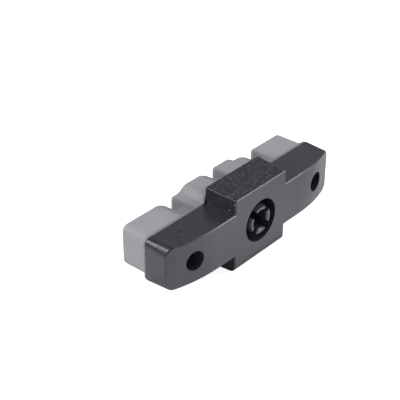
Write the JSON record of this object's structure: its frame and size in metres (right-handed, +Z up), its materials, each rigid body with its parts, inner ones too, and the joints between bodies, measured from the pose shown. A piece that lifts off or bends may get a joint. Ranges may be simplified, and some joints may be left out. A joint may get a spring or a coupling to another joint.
{
  "type": "bicycle rim brake pad",
  "caption": "Long brake pad for a hydraulic rim brake: black moulded carrier with swept wings, a square guide block and a snap-in piston socket, carrying a grooved grey friction block.",
  "frame": {"origin": "middle of the piston socket's mouth, on the carrier's flat back face", "axes": "+X along the pad's length, +Y from the back face to the rim, +Z up across the pad's width; the piston leaves along -Y"},
  "size_m": [0.0504, 0.0144, 0.0173],
  "materials": {
    "carrier_plastic": "matt black moulded plastic, faintly grained",
    "friction_compound": "matt grey moulded brake compound"
  },
  "bodies": {
    "root": {"carrier": "carrier_plastic", "friction_block": "friction_compound"}
  },
  "joints": []
}
